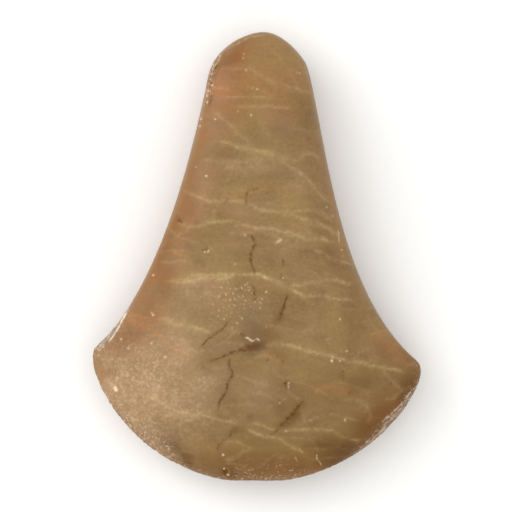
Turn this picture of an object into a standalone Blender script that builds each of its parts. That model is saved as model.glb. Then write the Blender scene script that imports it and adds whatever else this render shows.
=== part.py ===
"""A stone spud: a flared-bit celt of veined hardstone, ground and polished, lying on its back.

Metres, +Z up. +Y runs from the broad bit to the rounded poll, and +X is to the right as the
face is looked down on. The origin is on the resting flat, under the centre of the outline.
"""

import math

import bmesh
import bpy
import numpy as np
from mathutils import Vector
from mathutils.geometry import interpolate_bezier

# Outline in plan, six curves through named points. Heights are measured along +Y from the worn
# flat of the bit, and sideways sizes from the axis of the stone. A heading is the direction in
# degrees in which a curve leaves its point, and a pull is the length of the curve's handle there.
LENGTH = 0.120
POLL_TIP_OFFSET = 0.0020
POLL_TIP_LEFT_PULL = 0.0058
POLL_TIP_RIGHT_PULL = 0.0050

# Shoulders, where the rounded poll runs into the sides.
LEFT_SHOULDER_REACH = 0.0127
LEFT_SHOULDER_DROP = 0.0106
LEFT_SHOULDER_HEADING = 74.6
LEFT_SHOULDER_PULL_UP = 0.0060
LEFT_SHOULDER_PULL_DOWN = 0.0063
RIGHT_SHOULDER_REACH = 0.0139
RIGHT_SHOULDER_DROP = 0.0104
RIGHT_SHOULDER_HEADING = 103.5
RIGHT_SHOULDER_PULL_UP = 0.0036
RIGHT_SHOULDER_PULL_DOWN = 0.0228

# Ears, the two corners where the flaring sides meet the bit. The right one is worn lower.
LEFT_EAR_REACH = 0.0438
LEFT_EAR_HEIGHT = 0.0351
LEFT_EAR_SIDE_HEADING = 40.6
LEFT_EAR_SIDE_PULL = 0.0279
LEFT_EAR_BIT_HEADING = 255.7
LEFT_EAR_BIT_PULL = 0.0086
RIGHT_EAR_REACH = 0.0439
RIGHT_EAR_HEIGHT = 0.0311
RIGHT_EAR_SIDE_HEADING = 141.1
RIGHT_EAR_SIDE_PULL = 0.0279
RIGHT_EAR_BIT_HEADING = 285.0
RIGHT_EAR_BIT_PULL = 0.0082

# Bit, one broad sweep that is worn flat at its lowest point.
BIT_LEFT_PULL = 0.0308
BIT_RIGHT_PULL = 0.0281
BIT_FLAT_DEPTH = 0.0006

# Thickness. The face is the fuller side, and the back is flatter.
FACE_CROWN = 0.0115
BACK_CROWN = 0.0095
SECTION_FULLNESS = 2.8
POLL_ROUNDING = 0.056
POLL_FULLNESS = 2.7
BIT_TAPER = 0.044
BIT_FULLNESS = 1.75

# Ground flats. The resting flat is under the middle, and the narrow ones follow the edges.
RESTING_FLAT_DEPTH = 0.0004
EDGE_FLAT_DEPTH = 0.0003
EDGE_FLAT_TILT = 42.0
RIGHT_EDGE_FLATS = (0.36, 0.56, 0.76)
LEFT_EDGE_FLATS = (0.50,)

# Spacing of the mesh along the edge, and its rings from one pole to the other.
EDGE_STEP = 0.0032
POLL_STEP = 0.0018
RINGS = 36

# Polished brown stone.
STONE_COLOUR = (0.333, 0.205, 0.095, 1.0)
STONE_ROUGHNESS = 0.35


def pull(point, heading, distance):
    """The handle at a distance from a point of the outline, in a direction in degrees."""
    angle = math.radians(heading)
    return point + distance * Vector((math.cos(angle), math.sin(angle)))


def outline_spans():
    """The six curves of the outline, counterclockwise from the right ear, by name."""
    tip = Vector((POLL_TIP_OFFSET, LENGTH))
    left_shoulder = Vector((-LEFT_SHOULDER_REACH, LENGTH - LEFT_SHOULDER_DROP))
    right_shoulder = Vector((RIGHT_SHOULDER_REACH, LENGTH - RIGHT_SHOULDER_DROP))
    left_ear = Vector((-LEFT_EAR_REACH, LEFT_EAR_HEIGHT))
    right_ear = Vector((RIGHT_EAR_REACH, RIGHT_EAR_HEIGHT))
    bit = Vector((0.0, -BIT_FLAT_DEPTH))
    return {
        "right side": (
            right_ear,
            pull(right_ear, RIGHT_EAR_SIDE_HEADING, RIGHT_EAR_SIDE_PULL),
            pull(right_shoulder, RIGHT_SHOULDER_HEADING + 180, RIGHT_SHOULDER_PULL_DOWN),
            right_shoulder,
        ),
        "poll right": (
            right_shoulder,
            pull(right_shoulder, RIGHT_SHOULDER_HEADING, RIGHT_SHOULDER_PULL_UP),
            pull(tip, 0, POLL_TIP_RIGHT_PULL),
            tip,
        ),
        "poll left": (
            tip,
            pull(tip, 180, POLL_TIP_LEFT_PULL),
            pull(left_shoulder, LEFT_SHOULDER_HEADING, LEFT_SHOULDER_PULL_UP),
            left_shoulder,
        ),
        "left side": (
            left_shoulder,
            pull(left_shoulder, LEFT_SHOULDER_HEADING + 180, LEFT_SHOULDER_PULL_DOWN),
            pull(left_ear, LEFT_EAR_SIDE_HEADING, LEFT_EAR_SIDE_PULL),
            left_ear,
        ),
        "bit left": (
            left_ear,
            pull(left_ear, LEFT_EAR_BIT_HEADING, LEFT_EAR_BIT_PULL),
            pull(bit, 180, BIT_LEFT_PULL),
            bit,
        ),
        "bit right": (
            bit,
            pull(bit, 0, BIT_RIGHT_PULL),
            pull(right_ear, RIGHT_EAR_BIT_HEADING, RIGHT_EAR_BIT_PULL),
            right_ear,
        ),
    }


def even_points(span, step):
    """Points at even distances along one curve, without its last point."""
    start, start_pull, end_pull, end = span
    fine = np.array([p[:2] for p in interpolate_bezier(start, start_pull, end_pull, end, 200)])
    run = np.concatenate(([0.0], np.cumsum(np.linalg.norm(np.diff(fine, axis=0), axis=1))))
    count = max(4, round(run[-1] / step))
    stops = np.linspace(0.0, run[-1], count + 1)[:-1]
    return np.column_stack([np.interp(stops, run, fine[:, axis]) for axis in (0, 1)])


def distance_to(points, line):
    """The shortest distance from each point to a line of points, in plan."""
    start = line[:-1]
    along = line[1:] - start
    offset = points[:, None, :] - start[None, :, :]
    share = (offset * along).sum(axis=2) / (along * along).sum(axis=1)
    share = np.clip(share, 0.0, 1.0)[..., None]
    return np.linalg.norm(offset - share * along, axis=2).min(axis=1)


def swell(inward, fullness):
    """A rounded rise from 0 at the edge to 1, level from where inward reaches 1."""
    outward = 1.0 - np.clip(inward, 0.0, 1.0)
    return (1.0 - outward ** fullness) ** (1.0 / fullness)


def side_reach(heights, side):
    """Where a side lies at each height, carried on in its own flare below the ear."""
    order = np.argsort(side[:, 1])
    x, y = side[order, 0], side[order, 1]
    flare = (x[1] - x[0]) / (y[1] - y[0])
    return np.where(heights < y[0], x[0] + flare * (heights - y[0]), np.interp(heights, y, x))


def fullness_of_stone(plan, edge):
    """The share of the crown, from 0 at the edge to 1, at each point of the plan."""
    left_side = np.vstack((edge["poll left"], edge["left side"], edge["bit left"][:1]))
    right_side = np.vstack((edge["right side"], edge["poll right"], edge["poll left"][:1]))
    left = side_reach(plan[:, 1], left_side)
    right = side_reach(plan[:, 1], right_side)
    half = np.maximum((right - left) / 2, 1e-9)
    across = np.abs(plan[:, 0] - (left + right) / 2) / half
    bit_line = np.vstack((edge["bit left"], edge["bit right"], edge["right side"][:1]))
    section = swell(1.0 - across, SECTION_FULLNESS)
    poll = swell((LENGTH - plan[:, 1]) / POLL_ROUNDING, POLL_FULLNESS)
    bit = swell(distance_to(plan, bit_line) / BIT_TAPER, BIT_FULLNESS)
    return section * poll * bit


def cut_flat(mesh, point, normal):
    """Grind the stone off beyond a plane and close the flat."""
    everything = mesh.verts[:] + mesh.edges[:] + mesh.faces[:]
    bmesh.ops.bisect_plane(
        mesh, geom=everything, plane_co=point, plane_no=normal, dist=1e-6, clear_outer=True
    )
    rim = [edge for edge in mesh.edges if edge.is_boundary]
    bmesh.ops.holes_fill(mesh, edges=rim)


def edge_flat(mesh, span, share):
    """A narrow flat along the edge of the face, at a share of the way along one curve."""
    start, start_pull, end_pull, end = span
    points = interpolate_bezier(start, start_pull, end_pull, end, 101)
    index = round(share * 100)
    on_edge = points[index]
    along = (points[index + 1] - points[index - 1]).normalized()
    outward = Vector((along.y, -along.x, 0.0))
    rise = math.radians(EDGE_FLAT_TILT)
    normal = outward * math.cos(rise) + Vector((0.0, 0.0, math.sin(rise)))
    cut_flat(mesh, on_edge.to_3d() - outward * EDGE_FLAT_DEPTH, normal)


def stone_material():
    """Polished brown hardstone."""
    material = bpy.data.materials.new("polished brown stone")
    material.use_nodes = True
    shader = material.node_tree.nodes["Principled BSDF"]
    shader.inputs["Base Color"].default_value = STONE_COLOUR
    shader.inputs["Roughness"].default_value = STONE_ROUGHNESS
    shader.inputs["Metallic"].default_value = 0.0
    return material


def build_stone(collection):
    """The stone: a sphere pressed to the outline and to the thickness of the celt."""
    spans = outline_spans()
    edge = {
        name: even_points(span, POLL_STEP if "poll" in name else EDGE_STEP)
        for name, span in spans.items()
    }
    edge_points = np.vstack(list(edge.values()))
    middle = np.array([0.0, (LEFT_EAR_HEIGHT + RIGHT_EAR_HEIGHT) / 2])

    mesh = bmesh.new()
    bmesh.ops.create_uvsphere(mesh, u_segments=len(edge_points), v_segments=RINGS, radius=1.0)
    ball = np.array([vertex.co for vertex in mesh.verts])
    turn = np.arctan2(ball[:, 1], ball[:, 0]) / (2 * math.pi)
    ray = np.round(turn * len(edge_points)).astype(int) % len(edge_points)
    outward = np.hypot(ball[:, 0], ball[:, 1])[:, None]
    plan = middle + outward * (edge_points[ray] - middle)
    crown = np.where(ball[:, 2] > 0, FACE_CROWN, -BACK_CROWN)
    on_rim = np.abs(ball[:, 2]) < 1e-6
    height = np.where(on_rim, 0.0, crown * fullness_of_stone(plan, edge))
    for vertex, (x, y), z in zip(mesh.verts, plan, height):
        vertex.co = (x, y, z)

    floor = RESTING_FLAT_DEPTH - BACK_CROWN
    cut_flat(mesh, Vector((0.0, 0.0, floor)), Vector((0.0, 0.0, -1.0)))
    cut_flat(mesh, Vector((0.0, 0.0, 0.0)), Vector((0.0, -1.0, 0.0)))
    for share in RIGHT_EDGE_FLATS:
        edge_flat(mesh, spans["bit right"], share)
    for share in LEFT_EDGE_FLATS:
        edge_flat(mesh, spans["bit left"], share)
    bmesh.ops.triangulate(mesh, faces=[face for face in mesh.faces if len(face.verts) > 4])
    bmesh.ops.recalc_face_normals(mesh, faces=mesh.faces[:])

    corners = np.array([vertex.co for vertex in mesh.verts])
    centre = (corners.min(axis=0) + corners.max(axis=0)) / 2
    bmesh.ops.translate(mesh, verts=mesh.verts[:], vec=Vector((-centre[0], -centre[1], -floor)))

    data = bpy.data.meshes.new("stone_spud")
    mesh.to_mesh(data)
    mesh.free()
    data.shade_smooth()
    data.set_sharp_from_angle(angle=math.radians(25))
    data.materials.append(stone_material())
    stone = bpy.data.objects.new("stone_spud", data)
    collection.objects.link(stone)


def main():
    for old in list(bpy.data.objects):
        bpy.data.objects.remove(old, do_unlink=True)
    collection = bpy.data.collections.new("stone spud")
    bpy.context.scene.collection.children.link(collection)
    build_stone(collection)


main()
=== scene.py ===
"""A stone spud: a flared-bit celt of veined brown hardstone, lying on its back on a pale floor."""

import math

import bpy
import numpy as np
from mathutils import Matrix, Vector, noise


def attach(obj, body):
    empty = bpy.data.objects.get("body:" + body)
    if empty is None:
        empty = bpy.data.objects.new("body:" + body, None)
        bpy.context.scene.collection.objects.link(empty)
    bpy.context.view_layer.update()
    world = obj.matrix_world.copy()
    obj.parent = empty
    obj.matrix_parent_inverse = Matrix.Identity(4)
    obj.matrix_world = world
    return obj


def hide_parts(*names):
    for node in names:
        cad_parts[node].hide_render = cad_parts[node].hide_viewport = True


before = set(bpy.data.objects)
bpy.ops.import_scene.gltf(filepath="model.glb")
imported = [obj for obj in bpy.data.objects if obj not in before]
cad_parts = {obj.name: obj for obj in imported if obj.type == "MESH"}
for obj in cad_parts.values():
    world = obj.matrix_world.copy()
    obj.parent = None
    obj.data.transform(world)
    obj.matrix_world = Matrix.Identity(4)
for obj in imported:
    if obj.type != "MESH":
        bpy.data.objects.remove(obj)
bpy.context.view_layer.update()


# The stone itself: one flat slab of veined hardstone, pecked to its outline, ground on wet
# sandstone and polished until it feels waxy. Its edges are crushed in places from use, and small
# chips and pits have opened along old cracks.

# Spacing of the mesh on the back, in metres, and how far upwards a surface has to look to be
# part of the face, as the height of its normal. The rim is the widest line of the stone.
GRID = 0.00082
FACE_TILT_LIMIT = 0.10
RIM_HEIGHT = 0.0091

# Where things lie on the stone is given as in the photograph, in pixels from its upper left
# corner, with the middle of the stone at this pixel.
MM_PER_PIXEL = 0.26756
PHOTO_CENTRE = (256.74, 256.27)
CAMERA_DISTANCE = 0.90

# The veins are sheets that dip through the stone, so under the rim they come out further on, by
# this many millimetres for each millimetre of depth.
VEIN_DIP = (0.75, 1.30)

# Pale veins, healed with cleaner silica: half width in pixels, strength, and the route. The
# bands are the broad, faint glow of the larger ones.
PALE_VEINS = {
    "poll": (2.2, 0.36, [(223, 69), (247, 68), (260, 75), (272, 82), (291, 87), (311, 93)]),
    "poll left": (1.6, 0.30, [(212, 87), (220, 88), (229, 88)]),
    "poll middle": (1.6, 0.28, [(220, 97), (236, 96), (251, 97), (278, 98)]),
    "under poll": (1.5, 0.38, [(229, 107), (242, 106), (262, 106), (280, 107), (291, 108)]),
    "poll slant": (1.6, 0.38, [(213, 110), (227, 123), (238, 132), (253, 145)]),
    "grey slant": (2.0, 0.25, [(259, 119), (264, 128), (269, 137)]),
    "upper": (2.0, 0.52, [(214, 140), (227, 143), (239, 147), (249, 148), (260, 151), (276, 156)]),
    "upper right": (1.7, 0.42, [(274, 155), (291, 159), (300, 158), (307, 154), (315, 155), (322, 164)]),
    "upper faint": (1.6, 0.36, [(201, 158), (217, 161), (238, 162), (251, 163)]),
    "upper short": (1.6, 0.30, [(222, 168), (240, 169), (249, 176)]),
    "long slant": (1.7, 0.50, [(276, 156), (287, 165), (300, 173), (313, 185), (319, 193), (332, 203)]),
    "slant short": (1.4, 0.25, [(284, 181), (302, 188)]),
    "neck": (1.5, 0.62, [(183, 190), (197, 196), (211, 201), (221, 201), (236, 201), (247, 203)]),
    "neck right": (1.6, 0.66, [
        (247, 203), (259, 209), (273, 211), (287, 212), (301, 218), (314, 221), (333, 231),
        (340, 235),
    ]),
    "neck branch": (1.5, 0.48, [(290, 214), (301, 211), (311, 210), (321, 213), (334, 221)]),
    "neck thread": (1.3, 0.35, [(301, 218), (318, 225), (330, 229)]),
    "lower neck": (1.6, 0.52, [(177, 223), (191, 227), (203, 226), (213, 222), (224, 221), (236, 221)]),
    "lower neck right": (1.5, 0.58, [
        (236, 221), (253, 227), (269, 228), (283, 231), (299, 236), (307, 239), (321, 239),
        (339, 244),
    ]),
    "upright": (1.2, 0.28, [(214, 210), (214, 221)]),
    "right short": (1.4, 0.36, [(313, 249), (329, 257), (340, 261), (350, 264)]),
    "left short": (1.5, 0.34, [(159, 262), (169, 263), (179, 261), (189, 260)]),
    "left upper": (1.4, 0.26, [(171, 251), (186, 257), (193, 266)]),
    "middle": (1.8, 0.70, [
        (163, 281), (179, 282), (191, 282), (201, 280), (213, 279), (224, 279), (236, 276),
    ]),
    "middle strand": (2.0, 0.62, [(184, 279), (197, 276), (214, 275), (236, 275), (253, 274)]),
    "middle run": (1.7, 0.70, [(236, 276), (253, 274), (264, 276), (274, 281), (287, 286)]),
    "middle right": (1.6, 0.55, [(287, 286), (299, 293), (307, 296), (321, 296), (336, 298), (356, 300)]),
    "middle branch": (1.6, 0.56, [(287, 286), (300, 285), (311, 282), (324, 281), (336, 281), (352, 286)]),
    "left": (1.9, 0.55, [(154, 319), (169, 319), (176, 323), (184, 326), (197, 328), (211, 332)]),
    "left thread": (1.4, 0.34, [(227, 329), (233, 331), (242, 334)]),
    "right": (1.9, 0.80, [
        (266, 345), (285, 345), (297, 347), (309, 351), (316, 353), (330, 356), (340, 358),
        (350, 361),
    ]),
    "right end": (1.6, 0.62, [(350, 361), (360, 362), (372, 365), (382, 367), (391, 369), (403, 372)]),
    "right fork": (1.3, 0.36, [(381, 368), (387, 375), (396, 385), (402, 390)]),
    "right ear": (1.3, 0.42, [(384, 399), (392, 399), (400, 392), (411, 386)]),
    "right edge": (1.2, 0.45, [(405, 364), (412, 366), (418, 368)]),
    "lower left": (1.9, 0.55, [
        (135, 392), (155, 399), (165, 405), (177, 411), (190, 414), (202, 416), (217, 419),
        (232, 422), (238, 425),
    ]),
    "left upright": (1.6, 0.30, [(180, 366), (181, 380), (187, 390), (190, 402)]),
    "lower": (1.7, 0.55, [
        (246, 425), (253, 423), (261, 425), (272, 429), (286, 430), (304, 429), (325, 430),
        (335, 432),
    ]),
    "lower end": (1.4, 0.45, [(335, 432), (342, 437), (350, 439), (362, 441)]),
    "lower branch": (1.6, 0.55, [(246, 428), (262, 436), (277, 437), (289, 446), (301, 452)]),
    "bit": (1.5, 0.38, [(222, 441), (235, 442), (242, 445), (253, 449)]),
    "bit slant": (1.5, 0.36, [(225, 461), (235, 459), (244, 452), (256, 447)]),
    "bit thread": (1.3, 0.30, [(226, 464), (246, 467)]),
    "thread": (1.1, 0.35, [(287, 390), (300, 400)]),
    "long thread": (1.3, 0.26, [(298, 402), (302, 412), (306, 425), (311, 439), (319, 452)]),
    "cross thread": (1.2, 0.26, [(270, 366), (280, 376)]),
    "outer arc": (1.7, 0.34, [(342, 399), (357, 400), (366, 406), (370, 415), (368, 424)]),
    "middle band": (4.5, 0.40, [(166, 281), (190, 280), (215, 277), (242, 275)]),
    "upper band": (5.0, 0.16, [(232, 146), (252, 150), (276, 156)]),
    "neck band": (5.0, 0.26, [(258, 208), (290, 215), (322, 228)]),
    "left band": (5.0, 0.26, [(163, 321), (184, 327), (212, 333)]),
    "right band": (4.5, 0.26, [(285, 347), (315, 352), (345, 360)]),
    "bit band": (4.5, 0.24, [(250, 430), (280, 440), (303, 453)]),
}

# Rusty veins, where iron has followed a seam.
RUSTY_VEINS = {
    "left ear": (2.2, 0.60, [
        (126, 319), (140, 325), (155, 331), (165, 339), (172, 346), (185, 354), (192, 361),
    ]),
    "left edge": (1.7, 0.50, [(127, 316), (140, 316), (152, 319)]),
    "neck": (1.6, 0.55, [(219, 203), (227, 198), (236, 196), (247, 193), (259, 190), (270, 189)]),
    "lower left": (1.7, 0.32, [(180, 436), (192, 437), (202, 441), (210, 449), (216, 455)]),
    "lower right": (2.6, 0.30, [(312, 396), (325, 387), (335, 386), (345, 390), (351, 395)]),
    "right": (2.0, 0.30, [(300, 232), (312, 229), (318, 234)]),
    "chip": (1.5, 0.45, [(262, 350), (269, 356), (277, 357), (284, 364)]),
}

# Open hairline cracks, dark with old dirt, and the dark hollows of chips as painted shade.
CRACKS = {
    "centre": (0.75, 0.95, [
        (252, 235), (253, 239), (255, 244), (252, 251), (251, 257), (252, 266), (256, 274),
    ]),
    "centre lower": (0.8, 0.85, [(253, 285), (255, 294), (255, 301)]),
    "right dash": (0.7, 0.65, [(283, 259), (283, 266)]),
    "right dash lower": (0.7, 0.50, [(281, 273), (283, 280)]),
    "right": (0.95, 0.95, [(289, 292), (286, 301), (283, 309), (279, 321)]),
    "left": (0.75, 0.90, [(230, 321), (222, 329), (214, 335), (207, 341), (200, 347)]),
    "chip end": (0.9, 0.60, [(240, 334), (246, 337)]),
    "middle": (0.8, 0.80, [(250, 351), (239, 351), (229, 354), (220, 358), (208, 362)]),
    "long": (0.9, 0.85, [
        (230, 359), (230, 367), (232, 375), (229, 382), (226, 392), (221, 400), (217, 412),
    ]),
    "right short": (1.1, 0.50, [(343, 370), (344, 381)]),
    "lower right": (1.3, 0.75, [(304, 401), (299, 406), (292, 415), (285, 422)]),
    "lower right end": (1.1, 0.45, [(285, 422), (276, 432), (268, 438)]),
    "lower left": (1.8, 0.42, [(236, 428), (229, 437), (220, 444), (217, 451)]),
    "neck": (0.8, 0.65, [(248, 191), (247, 197), (246, 206)]),
    "neck arm": (1.0, 0.40, [(248, 191), (259, 189)]),
    "neck drop": (1.1, 0.45, [(228, 198), (224, 203)]),
    "left notch": (1.3, 0.60, [(176, 216), (179, 221), (183, 223)]),
    "poll notch": (1.3, 0.50, [(211, 94), (210, 100), (208, 106)]),
    "poll edge": (0.9, 0.70, [(219, 60), (213, 72), (210, 84), (207, 92)]),
    # The dark hollows of the chips: painted shade.
    "chip hollow": (2.2, 0.48, [(248, 349), (250, 346), (255, 345), (260, 344)]),
    "small chip": (1.4, 0.95, [(287, 382), (286, 388)]),
    "left chip": (0.8, 0.55, [(202, 250), (205, 250), (208, 248)]),
    "bit chip": (2.2, 0.85, [(223, 468), (226, 475)]),
    "bit shade": (1.6, 0.60, [(184, 461), (192, 465)]),
}

# Small chips and scratches show the white, crushed stone, and two lines along the poll's rim are
# painted highlights: half width, strength and route.
WHITE_SCARS_AND_RIM_HIGHLIGHTS = {
    "centre chip": (0.7, 0.80, [(245, 337), (249, 339), (253, 341), (257, 339), (260, 341)]),
    "left chip": (0.7, 0.70, [(203, 252), (206, 252), (209, 250)]),
    "right chip": (0.75, 0.70, [(289, 381), (288, 388)]),
    "scratch": (1.4, 0.42, [(275, 243), (279, 241), (283, 239)]),
    "bit scratch": (0.50, 0.48, [(316, 454), (318, 460), (322, 466)]),
    "bit nick": (0.50, 0.36, [(295, 457), (298, 463)]),
    "edge line": (0.7, 0.35, [(338, 230), (340, 243)]),
    "short scratch": (0.6, 0.36, [(326, 340), (331, 338)]),
    "ear line": (0.9, 0.90, [(127, 312), (123, 318), (119, 326), (115, 333)]),
    "ear tip": (0.8, 0.65, [(115, 333), (111, 338), (109, 343)]),
    "ear flecks": (0.8, 0.60, [(105, 345), (102, 347), (99, 345), (100, 349), (95, 350)]),
    "ear streak": (0.7, 0.55, [(97, 355), (101, 355)]),
    # Painted highlights, where the bevelled rim of the poll catches the light.
    "poll rim": (0.6, 0.35, [(221, 56), (215, 65), (212, 72), (210, 82)]),
    "poll top": (0.8, 0.18, [(226, 50), (238, 43), (252, 37), (266, 35)]),
    "bit rim": (0.7, 0.55, [(411, 391), (406, 399), (400, 406), (394, 412), (386, 419), (379, 427)]),
    "bit rim end": (0.7, 0.45, [(374, 436), (366, 443)]),
}

# Pinprick pits with painted glints, each a pixel or two across: radius, strength and places.
SPECKS = {
    "poll": (0.8, 0.7, [
        (244, 54), (243, 58), (246, 70), (253, 88), (257, 89), (238, 111), (251, 115), (215, 119),
    ]),
    "poll edge": (0.9, 0.8, [
        (220, 56), (213, 65), (212, 85), (207, 96), (207, 102), (201, 119), (200, 126), (208, 91),
    ]),
    "poll right": (0.8, 0.4, [(297, 72), (300, 73)]),
    "shoulder": (1.0, 0.9, [(206, 176)]),
    "neck": (0.8, 0.55, [(196, 167), (327, 207), (333, 216), (245, 235), (235, 264), (283, 278)]),
    "right edge": (0.8, 0.6, [(342, 250), (343, 256), (340, 319), (332, 360), (340, 361)]),
    "left edge": (1.0, 0.7, [(153, 275), (153, 315), (152, 313)]),
    "cluster": (0.6, 0.60, [
        (224, 282), (228, 283), (236, 289), (242, 288), (230, 300), (226, 294), (255, 302),
        (244, 304), (237, 312), (218, 316), (219, 310), (237, 323), (266, 292), (262, 299),
        (266, 327), (233, 293), (221, 287), (249, 290), (229, 306), (239, 297), (247, 284),
        (260, 308), (213, 304), (224, 319), (232, 328), (219, 296), (242, 318), (252, 293),
    ]),
    "low": (1.0, 0.95, [(345, 420), (332, 361), (223, 455), (224, 469), (228, 475)]),
    "lower": (0.9, 0.5, [(286, 431), (280, 403), (347, 351), (302, 452), (300, 450)]),
    "haze spot": (1.7, 1.0, [(115, 388), (116, 390)]),
    "haze_and_sheen": (1.0, 0.6, [(128, 348), (130, 346), (121, 339), (151, 343), (165, 357), (117, 378)]),
}

# Little brown spots of iron.
BROWN_SPOTS = {
    "neck": (2.0, 0.45, [(226, 201), (312, 228)]),
    "right neck": (3.2, 0.34, [(315, 230), (319, 233)]),
    "left": (1.6, 0.45, [(162, 292), (203, 367), (196, 222)]),
    "right": (1.3, 0.95, [(277, 356), (350, 393), (391, 384), (283, 361), (267, 361)]),
    "low": (3.4, 0.5, [(250, 417), (190, 462)]),
    "ear": (3.0, 0.45, [(340, 376), (414, 368)]),
}

# Broad stains and clouds: centre, half length, half width, turn in degrees, strength. Iron has
# reddened the left side, the ears and the rim of the bit.
IRON_STAINS = {
    "left margin": (166, 242, 104, 20, -68, 1.05),
    "upper left": (203, 130, 50, 10, -78, 0.70),
    "poll left": (234, 60, 24, 14, -30, 1.00),
    "left shoulder": (222, 88, 40, 28, -80, 0.95),
    "poll band": (262, 82, 45, 9, 8, 0.50),
    "poll": (272, 84, 46, 40, 0, 0.42),
    "left ear": (134, 328, 38, 17, -42, 1.15),
    "right ear": (397, 350, 30, 14, 40, 0.50),
    "right margin": (331, 190, 60, 8, 75, 0.35),
    "arc": (337, 391, 22, 7, 10, 0.36),
    "lower right rim": (388, 425, 60, 20, -50, 1.25),
    "bottom right": (350, 446, 32, 14, -26, 0.70),
    "bottom rim": (300, 466, 90, 13, -4, 1.00),
    "lower left rim": (105, 385, 24, 7, 65, 0.50),
}

# Greener stone, over most of the bit.
OLIVE_STAINS = {
    "left margin": (172, 232, 100, 16, -68, 0.70),
    "lower left margin": (132, 336, 34, 22, -40, 0.50),
    "poll top": (287, 60, 24, 16, 0, 0.70),
    "poll right": (305, 80, 10, 24, 0, 0.50),
    "under the poll": (240, 115, 26, 10, 20, 0.40),
    "band": (300, 226, 42, 8, 12, 0.60),
    "middle": (205, 277, 50, 7, 0, 0.50),
    "right": (340, 330, 30, 20, 0, 0.30),
    "lower": (258, 370, 24, 14, 0, 0.40),
    "beside the chip": (280, 361, 12, 9, 35, 0.85),
    "bit right": (350, 392, 56, 34, 10, 0.75),
    "under the chip": (280, 412, 34, 34, 0, 0.80),
    "bit": (285, 456, 100, 24, 0, 1.50),
    "lower right": (362, 432, 44, 26, -40, 1.20),
}

# Grey clouds, most of them round the cracks and chips.
ASH_CLOUDS = {
    "centre chip": (254, 346, 16, 9, 0, 0.80),
    "lower left rim": (166, 445, 22, 9, 34, 1.10),
    "left ear": (118, 395, 16, 24, 0, 0.45),
    "under the poll": (280, 130, 16, 10, 0, 0.60),
    "upper": (280, 168, 20, 10, 0, 0.60),
    "across": (262, 146, 56, 9, 0, 0.28),
    "centre": (253, 322, 16, 22, 10, 0.80),
    "left of centre": (228, 347, 26, 9, -8, 0.80),
    "left": (190, 342, 50, 42, 0, 0.34),
    "lower": (262, 398, 26, 22, 0, 0.60),
    "lower left": (218, 385, 26, 26, 0, 0.56),
}

# Milky, scuffed stone with a painted sheen over it, palest towards the left ear.
PALE_HAZE_AND_SHEEN = {
    "lower left": (150, 388, 60, 42, 38, 0.86),
    "left of centre": (202, 296, 30, 16, 0, 0.22),
    "right of centre": (286, 238, 30, 15, 10, 0.25),
    "left of the middle": (197, 290, 24, 18, 0, 0.42),
    "right of the middle": (310, 275, 24, 16, 0, 0.16),
    "right": (304, 330, 22, 14, 0, 0.24),
    "left": (174, 334, 26, 34, 0, 0.30),
    "shoulder": (225, 166, 20, 8, 0, 0.25),
    "right neck": (310, 178, 18, 20, 0, 0.22),
    "below the middle": (199, 408, 16, 26, 0, 0.66),
    "left ear": (114, 394, 16, 24, 0, 1.05),
    "behind the ear": (144, 322, 14, 10, 0, 0.22),
    "bit": (281, 464, 11, 8, 0, 0.30),
    "above the lower left rim": (179, 417, 30, 14, 5, 0.82),
    "beside the left cracks": (178, 355, 20, 18, 0, 0.84),
    "lower edge": (138, 420, 46, 14, 46, 0.74),
    "below the haze": (200, 386, 16, 18, 0, 0.66),
    "poll top": (290, 56, 20, 16, 0, 0.14),
    "neck": (262, 165, 16, 9, 0, 0.34),
    "beside the neck": (201, 194, 8, 16, 12, 0.18),
    "below the chip": (258, 390, 18, 15, 0, 0.28),
    "left ear tip": (101, 366, 8, 14, 0, 0.40),
    "lower right": (371, 408, 11, 9, -46, 0.25),
    "middle of the neck": (253, 210, 18, 9, 0, 0.26),
    "bit middle": (255, 465, 12, 6, 0, 0.25),
    "left ear middle": (121, 390, 12, 16, 0, 1.20),
}

# Darker stone along the rim of the bit and where dirt has gone in beside the cracks, with painted
# shade: the right and lower right darker, away from the light, and the hollow of the centre chip.
UMBER_AND_PAINTED_SHADE = {
    "poll left": (226, 62, 28, 12, -50, 0.50),
    "poll right": (308, 110, 14, 30, -8, 0.15),
    "right crack": (276, 318, 8, 11, 25, 0.50),
    "centre chip": (256, 346, 13, 8, -8, 0.95),
    "round the chip": (264, 336, 22, 16, 0, 0.58),
    "right margin": (344, 290, 11, 50, -20, 0.25),
    "bit": (280, 438, 110, 20, 0, 0.32),
    "upper": (234, 150, 60, 13, 0, 0.17),
    "lower crack": (289, 416, 21, 9, -45, 0.74),
    "right ear": (408, 378, 14, 12, 0, 0.50),
    "lower right": (378, 430, 66, 30, -46, 0.82),
    "right rim": (408, 398, 30, 18, -60, 1.15),
    "right arc": (362, 385, 14, 14, 0, 0.55),
    "bottom": (262, 468, 95, 18, 0, 0.70),
    "bottom right": (346, 451, 46, 20, -26, 1.02),
    "bottom left": (228, 473, 16, 9, 0, 1.00),
    "long crack": (232, 403, 8, 13, -20, 0.32),
    "left ear tip": (108, 355, 12, 18, 0, 0.20),
    "lower left rim": (176, 449, 20, 9, 30, 0.68),
    "left margin": (170, 246, 112, 11, -68, 0.42),
    "left ear margin": (120, 339, 24, 12, -50, 0.48),
    "behind the ear": (140, 366, 16, 10, 0, 0.20),
    "upper left": (203, 130, 60, 9, -78, 0.18),
    "lower": (288, 402, 22, 20, 0, 0.34),
    "far left": (160, 290, 26, 10, -66, 0.30),
    "before the ear": (383, 350, 12, 8, 40, 0.34),
    "beside the chip": (277, 361, 13, 8, 35, 0.22),
    "low": (250, 419, 18, 7, 0, 0.22),
    "lower left end": (190, 462, 13, 7, 28, 0.90),
    "low left": (235, 431, 14, 7, 0, 0.52),
    "low right": (327, 444, 24, 10, -8, 0.84),
    "below the scratch": (275, 407, 11, 11, 0, 0.52),
}

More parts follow.
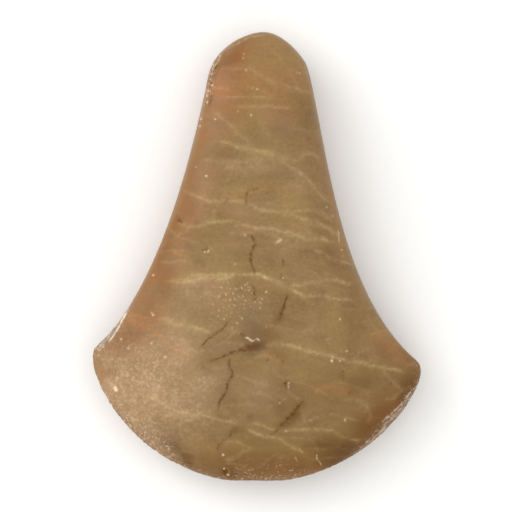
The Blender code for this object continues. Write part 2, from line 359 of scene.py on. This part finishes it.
# Where painted pinprick glints lie thickly: given as the stains are.
GLINTING = {
    "cluster": (236, 298, 28, 20, 0, 0.65),
    "bottom": (268, 473, 38, 7, 0, 0.8),
    "lower left": (142, 434, 64, 12, 42, 1.1),
    "haze_and_sheen": (145, 385, 50, 36, 30, 0.45),
}

# Stretches of the rim that use has crushed: given as the stains are.
CRUSHED_RIM = {
    "poll left": (210, 85, 34, 9, -76, 0.8),
    "left ear": (110, 330, 28, 9, -50, 1.0),
    "lower left": (146, 433, 66, 13, 42, 1.0),
    "bottom": (258, 474, 46, 8, 0, 0.9),
    "lower right": (390, 418, 48, 9, -50, 0.9),
    "right ear": (416, 366, 9, 8, 0, 0.4),
}

# Narrow facets ground along the rim after the polish: points on the rim, and the width there,
# all in pixels. A point of the stone within reach of the line of points is beside that facet.
FACET_REACH = 9
FACETS = {
    "left ear": [
        (131, 301, 0), (123, 315, 1.5), (117, 324, 4), (108, 336, 6), (101, 345, 4),
        (95, 352, 0.5),
    ],
    "lower right": [
        (416, 382, 0), (410, 393, 3), (401, 407, 4.5), (388, 422, 5), (377, 433, 3),
        (360, 448, 1),
    ],
}


def seen_at(points):
    """Where points of the stone lie in the photograph, in pixels, for a camera straight above."""
    closer = CAMERA_DISTANCE / (CAMERA_DISTANCE - (points[:, 2] - RIM_HEIGHT))
    depth = np.maximum(RIM_HEIGHT - points[:, 2], 0.0)[:, None]
    shifted = points[:, :2] * closer[:, None] + depth * np.array(VEIN_DIP)
    return shifted * 1000 / MM_PER_PIXEL * np.array([1.0, -1.0]) + np.array(PHOTO_CENTRE)


def smooth_route(points):
    """A smooth line through given points."""
    p = np.array(points, dtype=float)
    p = np.vstack((2 * p[0] - p[1], p, 2 * p[-1] - p[-2]))
    t = np.linspace(0.0, 1.0, 6)[:-1, None]
    line = []
    for a, b, c, d in zip(p[:-3], p[1:-2], p[2:-1], p[3:]):
        line.append(b + 0.5 * t * (c - a + t * (2 * a - 5 * b + 4 * c - d + t * (3 * (b - c) + d - a))))
    return np.vstack(line + [p[-2:-1]])


def distance_to(points, line):
    """The distance from each point to a line, and how far along it the nearest place is."""
    start = line[:-1]
    along = line[1:] - start
    offset = points[:, None, :] - start[None, :, :]
    share = np.clip((offset * along).sum(axis=2) / (along * along).sum(axis=1), 0.0, 1.0)
    gap = np.linalg.norm(offset - share[..., None] * along, axis=2)
    nearest = gap.argmin(axis=1)
    rows = np.arange(len(points))
    return gap[rows, nearest], (nearest + share[rows, nearest]) / len(start)


def streaks(routes, where, spread=1.0):
    """How strongly a set of lines marks each point: routes give half width, strength and points.

    A line starts faint and thin, and has its full strength a tenth of the way along.
    """
    mark = np.zeros(len(where))
    for half_width, strength, points in routes.values():
        line = smooth_route(points)
        half_width = half_width * spread
        reach = half_width * 3
        low = line.min(axis=0) - reach
        high = line.max(axis=0) + reach
        near = np.flatnonzero(((where > low) & (where < high)).all(axis=1))
        gap, along = distance_to(where[near], line)
        taper = np.clip(np.minimum(along, 1.0 - along) * 6 + 0.4, 0.0, 1.0)
        fresh = strength * taper * np.exp(-((gap / (half_width * taper)) ** 2))
        mark[near] = np.maximum(mark[near], fresh)
    return mark


# The part of the photograph that the stone takes up: its upper left and lower right corners.
STONE_CORNERS = ((80, 20), (430, 490))


def hairlines(count, seed):
    """Routes of faint hairline veins, most of them along the bedding and a few across it."""
    chance = np.random.default_rng(seed)
    routes = {}
    for number in range(count):
        points = [chance.uniform(*STONE_CORNERS)]
        heading = math.radians(chance.choice((4, 8, 12, 18, 26, -30)) + chance.normal(0, 7))
        step = chance.uniform(8, 15)
        for turn in chance.normal(0, 0.22, size=chance.integers(2, 6)):
            heading += turn
            points.append(points[-1] + step * np.array([math.cos(heading), math.sin(heading)]))
        routes[number] = (chance.uniform(0.8, 1.7), chance.uniform(0.10, 0.34), points)
    return routes


def patches(spots, where):
    """How strongly a set of soft oval patches marks each point."""
    mark = np.zeros(len(where))
    for x, y, half_length, half_width, turn, strength in spots.values():
        angle = math.radians(turn)
        across = where - np.array([x, y])
        u = (across[:, 0] * math.cos(angle) + across[:, 1] * math.sin(angle)) / half_length
        v = (across[:, 1] * math.cos(angle) - across[:, 0] * math.sin(angle)) / half_width
        mark = np.maximum(mark, strength * np.exp(-(u * u + v * v)))
    return mark


def dots(spots, where):
    """How strongly a set of small round spots marks each point."""
    mark = np.zeros(len(where))
    for radius, strength, places in spots.values():
        for place in places:
            gap = np.linalg.norm(where - np.array(place), axis=1)
            mark = np.maximum(mark, strength * np.exp(-((gap / radius) ** 2)))
    return mark


def facet_width(where):
    """How wide the ground facet beside each point is, and how far along the rim the point lies."""
    width = np.zeros(len(where))
    run = np.zeros(len(where))
    for stations in FACETS.values():
        stations = np.array(stations, dtype=float)
        gap, along = distance_to(where, stations[:, :2])
        beside = gap < FACET_REACH
        steps = np.arange(len(stations)) / (len(stations) - 1)
        width[beside] = np.interp(along[beside], steps, stations[:, 2])
        run[beside] = along[beside] * np.linalg.norm(stations[-1, :2] - stations[0, :2])
    return width, run


def coordinates(points):
    """Three numbers a point, as one array, from a mesh's vertices or face centres."""
    return np.array([tuple(point) for point in points])


def refine(wanted):
    """Splits each side of the wanted faces in two."""
    bpy.ops.object.mode_set(mode="EDIT")
    bpy.ops.mesh.select_all(action="DESELECT")
    bpy.ops.object.mode_set(mode="OBJECT")
    stone.data.polygons.foreach_set("select", wanted)
    bpy.ops.object.mode_set(mode="EDIT")
    bpy.ops.mesh.select_mode(type="FACE")
    bpy.ops.mesh.subdivide(number_cuts=1)
    bpy.ops.object.mode_set(mode="OBJECT")


def rub(turns):
    """Rubs the surface smooth."""
    rubbed = stone.modifiers.new("rubbed", "SMOOTH")
    rubbed.factor = 0.5
    rubbed.iterations = turns
    bpy.ops.object.modifier_apply(modifier=rubbed.name)


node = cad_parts["stone_spud"]
bpy.ops.object.select_all(action="DESELECT")
stone = bpy.data.objects.new("polished_stone", node.data.copy())
bpy.context.scene.collection.objects.link(stone)
stone.select_set(True)
bpy.context.view_layer.objects.active = stone
bpy.ops.object.mode_set(mode="EDIT")
bpy.ops.mesh.select_all(action="SELECT")
bpy.ops.mesh.remove_doubles(threshold=0.000001)
bpy.ops.mesh.tris_convert_to_quads()
bpy.ops.object.mode_set(mode="OBJECT")

# The outline in plan is the ring where the face turns under into the back. Its points are put
# in order by their bearing from a spot on the axis, below the middle.
BEARING_SPOT_BELOW = 0.02
solid = coordinates(vertex.co for vertex in stone.data.vertices)
ring = solid[np.abs(solid[:, 2] - RIM_HEIGHT) < 0.00001][:, :2]
ring = ring[np.argsort(np.arctan2(ring[:, 1] + BEARING_SPOT_BELOW, ring[:, 0]))]
outline = np.vstack((ring, ring[:1]))

smoothing = stone.modifiers.new("worn smooth", "SUBSURF")
smoothing.levels = 2
smoothing.render_levels = 2

# A subdivided surface draws in from the points of its cage, so the cage is first swelled by as
# much, and the smooth form then passes through the points of the solid.
drawn_in = stone.evaluated_get(bpy.context.evaluated_depsgraph_get()).data.vertices[:len(solid)]
swelled = 2 * solid - coordinates(vertex.co for vertex in drawn_in)
stone.data.vertices.foreach_set("co", swelled.ravel())
stone.data.update()
bpy.ops.object.modifier_apply(modifier=smoothing.name)
smooth_form = bpy.data.objects.new("smooth_form", stone.data.copy())
bpy.context.scene.collection.objects.link(smooth_form)
stone.data.remesh_voxel_size = GRID
bpy.ops.object.voxel_remesh()

# The face carries the fine relief, so it gets a mesh twice as fine as the back, and twice as
# fine again along the cracks and chips.
upward = np.array([face.normal.z for face in stone.data.polygons])
refine(upward > FACE_TILT_LIMIT)
rub(4)
centres = coordinates(face.center for face in stone.data.polygons)
upward = np.array([face.normal.z for face in stone.data.polygons])
centres_seen = seen_at(centres)
detail = (
    streaks(CRACKS, centres_seen) + streaks(WHITE_SCARS_AND_RIM_HIGHLIGHTS, centres_seen) + dots(SPECKS, centres_seen)
    + facet_width(centres_seen)[0]
)
refine((detail > 0.03) & (upward > FACE_TILT_LIMIT))
rub(3)

# The rubbing draws the ears and the rim in, so the mesh is laid back on the smooth form.
laid_back = stone.modifiers.new("laid back on the form", "SHRINKWRAP")
laid_back.target = smooth_form
laid_back.wrap_method = "NEAREST_SURFACEPOINT"
bpy.ops.object.modifier_apply(modifier=laid_back.name)
bpy.data.objects.remove(smooth_form)
stone.data.shade_smooth()

# Each point's place, the pixel it is seen at, and how many pixels it lies in from the outline.
# The last is worked out in lots, to spare the memory.
LOTS = 40
place = coordinates(vertex.co for vertex in stone.data.vertices)
outward = coordinates(vertex.normal for vertex in stone.data.vertices)
pixel = seen_at(place)
edge = np.concatenate(
    [distance_to(some, outline)[0] for some in np.array_split(place[:, :2], LOTS)]
) * 1000 / MM_PER_PIXEL

# Without a seed the noise would start from the clock and differ from run to run.
NOISE_SEED = 1
noise.seed_set(NOISE_SEED)


def drift(scale, seed):
    """Smooth random numbers from -1 to 1, three for each point, on a scale in mm."""
    shift = Vector((seed, seed * 0.7, seed * 1.3))
    return np.array([noise.noise_vector(Vector(spot) * (1000 / scale) + shift) for spot in place])


# Nothing in stone runs true, so each kind of mark is looked up a little beside its real place:
# veins wander, stains have ragged edges, cracks are jagged and scratches nearly straight.
broad = drift(9.0, 3.0)
middling = drift(3.2, 11.0)
fine = drift(1.1, 8.0)
sharp = drift(0.5, 17.0)
wandering = pixel + 0.9 * middling[:, :2] + 0.8 * fine[:, :2] + 0.6 * sharp[:, :2]
stain_place = pixel + 9.0 * broad[:, :2] + 3.0 * middling[:, :2]
jagged = pixel + 1.8 * fine[:, :2] + 1.3 * sharp[:, :2]
straighter = pixel + 0.6 * fine[:, :2] + 0.6 * sharp[:, :2]

# The photographed cracks, chips and crushed stone are on the face and end just under the rim,
# over this many millimetres.
FADE_UNDER_RIM = 0.8
rise = (place[:, 2] - RIM_HEIGHT) * 1000
on_face = np.clip(1.0 + rise / FADE_UNDER_RIM, 0.0, 1.0)
crack = streaks(CRACKS, jagged) * on_face
scar_and_highlight = streaks(WHITE_SCARS_AND_RIM_HIGHLIGHTS, straighter) * on_face
speck = dots(SPECKS, pixel) * on_face
crushed = patches(CRUSHED_RIM, pixel) * np.exp(-((edge / 6.0) ** 2)) * on_face

# The facets' own grinding scratches run along the rim: this many pixels long, and this many
# millimetres apart.
SCRATCH_LENGTH = 14.0
SCRATCH_SPACING = 0.5
width, run = facet_width(pixel)
above = rise > 0.0
facet = np.where(above, np.clip(1.5 * (width - edge) + 0.5, 0.0, 1.0), 0.0) * (width > 0.3)
up_the_facet = np.hypot(edge * MM_PER_PIXEL, rise)
scratches = np.array([
    noise.noise(Vector((along / SCRATCH_LENGTH, across / SCRATCH_SPACING, 4.0)))
    for along, across in zip(run, up_the_facet)
])

# Each facet cuts the rounding of the rim off nearly straight.
cut = np.where(above & (edge < width), 1.0 - np.sqrt(edge / np.maximum(width, 0.1)), 0.0)
place[:, 2] -= cut * (place[:, 2] - RIM_HEIGHT)

# The relief, in millimetres below the polished surface. The unevenness of hand polishing fades
# out towards the rim, so the outline stays true.
BROAD_UNEVENNESS = 0.05
SMALL_UNEVENNESS = 0.020
CRACK_DEPTH = 0.12
SCAR_DEPTH = 0.05
PIT_DEPTH = 0.05
CRUSHED_DEPTH = 0.30
inner = np.clip(edge / 8.0, 0.0, 1.0)
relief = (
    BROAD_UNEVENNESS * (1.0 + broad[:, 2]) * inner
    + SMALL_UNEVENNESS * (1.0 + middling[:, 2]) * inner
    + CRACK_DEPTH * crack
    + SCAR_DEPTH * scar_and_highlight
    + PIT_DEPTH * speck
    + CRUSHED_DEPTH * crushed * np.clip(0.4 + 1.2 * fine[:, 2] + 0.8 * middling[:, 2], 0.0, 1.0)
)
low, high = solid.min(axis=0), solid.max(axis=0)
moved = np.clip(place - outward * (relief / 1000)[:, None], low, high)
stone.data.vertices.foreach_set("co", moved.ravel())
stone.data.update()


def keep(name, values):
    """Stores one value a point on the mesh under a name that the material reads."""
    layer = stone.data.attributes.new(name, "FLOAT", "POINT")
    layer.data.foreach_set("value", np.asarray(values, dtype=np.float32))


# A vein is a braid of fine strands in a paler, feathery band. Each strand has a seed of its own
# and a strength. Faint hairline veins lie between the larger ones.
STRANDS = ((21.0, 0.45), (34.0, 0.38), (55.0, 0.30))
HAIRLINE_COUNT = 120
HAIRLINE_SEED = 8
feather = np.clip(0.85 + 0.55 * middling[:, 2] + 0.50 * fine[:, 0], 0.15, 1.2)
strands = np.zeros(len(place))
for seed, strength in STRANDS:
    parted = wandering + 2.4 * drift(6.0, seed)[:, :2]
    strands = strands + strength * streaks(PALE_VEINS, parted, 0.45)
glow = streaks(PALE_VEINS, wandering, 1.8)
ghosts = streaks(PALE_VEINS, pixel + 4.0 * middling[:, [1, 0]] + 3.0 * broad[:, :2])
faint = streaks(hairlines(HAIRLINE_COUNT, HAIRLINE_SEED), wandering)
keep("pale_vein", (np.minimum(strands, 0.7) + 0.38 * glow + 0.15 * ghosts + faint) * feather)
keep("rusty_vein", streaks(RUSTY_VEINS, wandering) * feather)

# Cracks, chips and specks are broken along their length, as they are in worn stone. Dirt has
# seeped into the stone for a little way beside each crack.
keep("crack", crack * np.clip(0.75 + 1.3 * fine[:, 1] + 1.0 * sharp[:, 0], 0.10, 1.0))
keep("seep", streaks(CRACKS, wandering, 2.6))
keep("scar_and_highlight", scar_and_highlight * np.clip(0.70 + 1.1 * fine[:, 2] + 1.2 * sharp[:, 1], 0.1, 1.0))
keep("speck", speck * np.clip(0.80 + 1.2 * sharp[:, 2], 0.1, 1.0))

# The crushed rim gets painted glints too.
near_rim = np.exp(-((edge / 8.0) ** 2))
glinting = np.maximum(patches(GLINTING, stain_place), patches(CRUSHED_RIM, pixel) * near_rim)
keep("glinting", glinting * on_face)
keep("crushed", crushed)
# A painted grey edge just inside the outline, for the reflection and shade where the side turns under.
keep("rim", np.exp(-((edge / 2.0) ** 2)))
keep("facet", facet)
keep("facet_scratch", facet * np.clip(2.6 * scratches, 0.0, 1.0))

keep("brown_spot", dots(BROWN_SPOTS, wandering))
keep("iron", patches(IRON_STAINS, stain_place))
keep("olive", patches(OLIVE_STAINS, stain_place))
keep("ash", patches(ASH_CLOUDS, stain_place))
# The haze is milky, scuffed stone together with a painted sheen.
keep("haze_and_sheen", patches(PALE_HAZE_AND_SHEEN, stain_place) * (0.95 + 0.40 * middling[:, 1] + 0.35 * fine[:, 2]))
# Umber is darker stone together with painted shade on the side away from the light.
keep("umber_and_shade", patches(UMBER_AND_PAINTED_SHADE, stain_place))


def linear(hex_colour):
    """An sRGB hex colour as the linear values that a shader takes."""
    channels = [int(hex_colour[i:i + 2], 16) / 255 for i in (1, 3, 5)]
    return [c / 12.92 if c <= 0.04045 else ((c + 0.055) / 1.055) ** 2.4 for c in channels] + [1.0]


def add_node(tree, kind, inputs=None, **settings):
    """Adds a node with its settings, and sets or links its inputs."""
    made = tree.nodes.new(kind)
    for name, value in settings.items():
        setattr(made, name, value)
    for name, value in (inputs or {}).items():
        if isinstance(value, bpy.types.NodeSocket):
            tree.links.new(value, made.inputs[name])
        else:
            made.inputs[name].default_value = value
    return made


# Polished veined hardstone, such as chert or quartzite. Its polish is waxy, not glassy, and the
# colour is soft brown with grain, clouds and healed seams.
STONE_IOR = 1.54
STONE_SHEEN = 0.35
material = bpy.data.materials.new("polished veined hardstone")
material.use_nodes = True
tree = material.node_tree
shader = tree.nodes["Principled BSDF"]
shader.inputs["IOR"].default_value = STONE_IOR

surface = add_node(tree, "ShaderNodeTexCoord")
in_mm = add_node(
    tree, "ShaderNodeMapping", {"Vector": surface.outputs["Object"], "Scale": (1000, 1000, 1000)}
)

# Bedding runs nearly level across the stone, so the mottling is drawn out along it.
BEDDING_TURN = (0, 0, math.radians(8))
bedded = add_node(
    tree, "ShaderNodeMapping",
    {"Vector": in_mm.outputs[0], "Rotation": BEDDING_TURN, "Scale": (0.45, 1.0, 1.0)},
)
drawn_out = add_node(
    tree, "ShaderNodeMapping",
    {"Vector": in_mm.outputs[0], "Rotation": BEDDING_TURN, "Scale": (0.20, 1.0, 1.0)},
)

# The real grain is under a tenth of a millimetre, too fine to show from here, so it is drawn as
# coarse as it has to be. The sizes are in millimetres.
textures = {}
for name, laid_out, size, detail_levels, roughness in (
    ("clouds", in_mm, 12.0, 4.0, 0.55),
    ("mottle", bedded, 3.0, 5.0, 0.62),
    ("streaks", drawn_out, 1.1, 4.0, 0.65),
    ("grain", in_mm, 0.85, 3.0, 0.65),
):
    textures[name] = add_node(
        tree, "ShaderNodeTexNoise",
        {"Vector": laid_out.outputs[0], "Scale": 1 / size, "Detail": detail_levels,
         "Roughness": roughness},
    ).outputs["Fac"]

tone = textures["clouds"]
for name, share in (("mottle", 0.6), ("grain", 0.62), ("streaks", 0.20)):
    tone = add_node(
        tree, "ShaderNodeMath", {0: textures[name], 1: share, 2: tone}, operation="MULTIPLY_ADD"
    ).outputs[0]
spread = add_node(
    tree, "ShaderNodeMapRange", {"Value": tone, "From Min": 0.92, "From Max": 1.50}
)
body = add_node(
    tree, "ShaderNodeMix",
    {0: spread.outputs[0], 6: linear("#73562C"), 7: linear("#977744")},
    data_type="RGBA",
)
colour = body.outputs[2]

# Its hue drifts too, to olive in some clouds and to a pinkish grey in others.
for tint, turn, most in (("#806B2F", 40.0, 0.32), ("#916B47", 75.0, 0.5)):
    elsewhere = add_node(
        tree, "ShaderNodeMapping", {"Vector": bedded.outputs[0], "Location": (turn, turn, 0)}
    )
    cloud = add_node(
        tree, "ShaderNodeTexNoise",
        {"Vector": elsewhere.outputs[0], "Scale": 1 / 5, "Detail": 4.0, "Roughness": 0.6},
    )
    tinge = add_node(
        tree, "ShaderNodeMapRange",
        {"Value": cloud.outputs["Fac"], "From Min": 0.46, "From Max": 0.70, "To Max": most},
    )
    drifted = add_node(
        tree, "ShaderNodeMix", {0: tinge.outputs[0], 6: colour, 7: linear(tint)}, data_type="RGBA"
    )
    colour = drifted.outputs[2]

# Crushed stone is peppered with pale grains about 0.7 mm apart, and the brightest of them are
# painted glints. The pale haze, with its painted sheen, is flecked with rather larger ones.
grains = add_node(
    tree, "ShaderNodeTexNoise",
    {"Vector": in_mm.outputs[0], "Scale": 1 / 0.7, "Detail": 2.0, "Roughness": 0.7},
)
glints = add_node(
    tree, "ShaderNodeMapRange", {"Value": grains.outputs["Fac"], "From Min": 0.60, "From Max": 0.68}
)
pepper = add_node(
    tree, "ShaderNodeMapRange", {"Value": grains.outputs["Fac"], "From Min": 0.50, "From Max": 0.66}
)
scuffs = add_node(
    tree, "ShaderNodeTexNoise",
    {"Vector": in_mm.outputs[0], "Scale": 1 / 1.0, "Detail": 4.0, "Roughness": 0.7},
)
flecks = add_node(
    tree, "ShaderNodeMapRange", {"Value": scuffs.outputs["Fac"], "From Min": 0.46, "From Max": 0.68}
)

# Iron has soaked in along the bedding, more in some layers than in others.
uneven = add_node(
    tree, "ShaderNodeMapRange",
    {"Value": textures["mottle"], "From Min": 0.35, "From Max": 0.65,
     "To Min": 0.55, "To Max": 1.35},
)

# The silica in the veins is gritty, and shows the grain.
gritty = add_node(
    tree, "ShaderNodeMapRange",
    {"Value": textures["grain"], "From Min": 0.35, "From Max": 0.65,
     "To Min": 0.65, "To Max": 1.35},
)

# The marks, from the deepest stain to the freshest chip: the value kept on the mesh, its colour,
# how much of it shows, and what it is broken up by.
FULL = 1.0
for name, tint, amount, broken in (
    ("iron", "#A0551F", 0.50, uneven.outputs[0]),
    ("olive", "#8B6928", 0.40, FULL),
    ("ash", "#776249", 0.55, FULL),
    # Milky haze, with painted sheen.
    ("haze_and_sheen", "#B6916F", 0.6, FULL),
    # Umber stain, with painted shade away from the light.
    ("umber_and_shade", "#4C2C0E", 0.7, FULL),
    ("seep", "#623C18", 0.35, FULL),
    ("pale_vein", "#CDAF7A", 0.40, gritty.outputs[0]),
    ("rusty_vein", "#B67339", 0.50, gritty.outputs[0]),
    # Painted grey edge: reflection and shade where the side turns under.
    ("rim", "#826B4F", 0.35, FULL),
    # Flecks in the milky haze and its painted sheen.
    ("haze_and_sheen", "#DAB88E", 0.45, flecks.outputs[0]),
    ("crushed", "#846347", 0.45, FULL),
    ("facet", "#857465", 0.62, FULL),
    ("crushed", "#DBB99A", 0.65, pepper.outputs[0]),
    ("facet_scratch", "#E4D3BE", 0.42, FULL),
    # Painted glints.
    ("glinting", "#F1DBB2", 0.60, glints.outputs[0]),
    ("brown_spot", "#5A3618", 0.7, FULL),
    # Dark dirt in the cracks, and painted shade in the hollows of the chips.
    ("crack", "#5A2F02", 0.80, FULL),
    # White crushed stone, and painted highlights along the poll's rim.
    ("scar_and_highlight", "#F8E6C8", 0.80, FULL),
    # Painted glints in the pits.
    ("speck", "#FFE8BC", 0.85, FULL),
):
    layer = add_node(tree, "ShaderNodeAttribute", attribute_name=name)
    weight = add_node(
        tree, "ShaderNodeMath", {0: layer.outputs["Fac"], 1: amount}, operation="MULTIPLY"
    )
    weight = add_node(
        tree, "ShaderNodeMath", {0: weight.outputs[0], 1: broken}, operation="MULTIPLY",
        use_clamp=True,
    )
    mixed = add_node(
        tree, "ShaderNodeMix", {0: weight.outputs[0], 6: colour, 7: linear(tint)},
        data_type="RGBA",
    )
    colour = mixed.outputs[2]
tree.links.new(colour, shader.inputs["Base Color"])

# The polish is uneven, because the softer layers have worn duller.
gloss = add_node(
    tree, "ShaderNodeMapRange",
    {"Value": textures["mottle"], "From Min": 0.3, "From Max": 0.7,
     "To Min": 0.38, "To Max": 0.52},
)
tree.links.new(gloss.outputs[0], shader.inputs["Roughness"])

# The dirt in the cracks is dull, and the stone has less polish where the umber and its painted
# shade are darkest.
dirt = add_node(tree, "ShaderNodeAttribute", attribute_name="crack")
darkest = add_node(tree, "ShaderNodeAttribute", attribute_name="umber_and_shade")
dull = add_node(
    tree, "ShaderNodeMath", {0: darkest.outputs["Fac"], 1: 0.7, 2: dirt.outputs["Fac"]},
    operation="MULTIPLY_ADD",
)
sheen = add_node(
    tree, "ShaderNodeMapRange",
    {"Value": dull.outputs[0], "To Min": STONE_SHEEN, "To Max": 0.0},
)
tree.links.new(sheen.outputs[0], shader.inputs["Specular IOR Level"])

# The grain can just be felt.
bump = add_node(
    tree, "ShaderNodeBump",
    {"Height": textures["grain"], "Strength": 0.25, "Distance": 0.00008},
)
tree.links.new(bump.outputs[0], shader.inputs["Normal"])
stone.data.materials.clear()
stone.data.materials.append(material)

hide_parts("stone_spud")
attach(stone, "root")


# The floor: a plain sheet of pale board that the stone lies on.
FLOOR_SIZE = 4.0
bpy.ops.object.select_all(action="DESELECT")
bpy.ops.mesh.primitive_plane_add(size=FLOOR_SIZE, location=(0, 0, 0))
floor = bpy.context.object
floor.name = "pale_floor"
board = bpy.data.materials.new("pale matt board")
board.use_nodes = True
board_shader = board.node_tree.nodes["Principled BSDF"]
board_shader.inputs["Base Color"].default_value = linear("#FAF9F7")
board_shader.inputs["Roughness"].default_value = 0.9
floor.data.materials.append(board)


# The light: a broad soft window to the upper left, and an even pale room around it.
ROOM_BRIGHTNESS = 1.02
WINDOW_WATTS = 7.5
WINDOW_SIZE = 1.0
WINDOW_PLACE = (-1.02, 0.60, 0.70)
world = bpy.data.worlds.new("pale room")
world.use_nodes = True
room = world.node_tree.nodes["Background"]
room.inputs["Color"].default_value = linear("#FFFFFF")
room.inputs["Strength"].default_value = ROOM_BRIGHTNESS
bpy.context.scene.world = world
bpy.context.scene.view_settings.view_transform = "Standard"

lamp = bpy.data.lights.new("window", "AREA")
lamp.energy = WINDOW_WATTS
lamp.size = WINDOW_SIZE
window = bpy.data.objects.new("window", lamp)
window.location = WINDOW_PLACE
window.rotation_euler = (Vector((0, 0, 0)) - window.location).to_track_quat("-Z", "Y").to_euler()
bpy.context.scene.collection.objects.link(window)


# The camera looks straight down on the face, as in the photograph.
FRAME_PIXELS = 512
view = bpy.data.cameras.new("camera")
view.sensor_width = 36.0
view.lens = view.sensor_width * CAMERA_DISTANCE * 1000 / (FRAME_PIXELS * MM_PER_PIXEL)
camera = bpy.data.objects.new("camera", view)
off_centre = (FRAME_PIXELS / 2 - PHOTO_CENTRE[0], PHOTO_CENTRE[1] - FRAME_PIXELS / 2)
camera.location = (
    off_centre[0] * MM_PER_PIXEL / 1000,
    off_centre[1] * MM_PER_PIXEL / 1000,
    CAMERA_DISTANCE + RIM_HEIGHT,
)
bpy.context.scene.collection.objects.link(camera)
bpy.context.scene.camera = camera
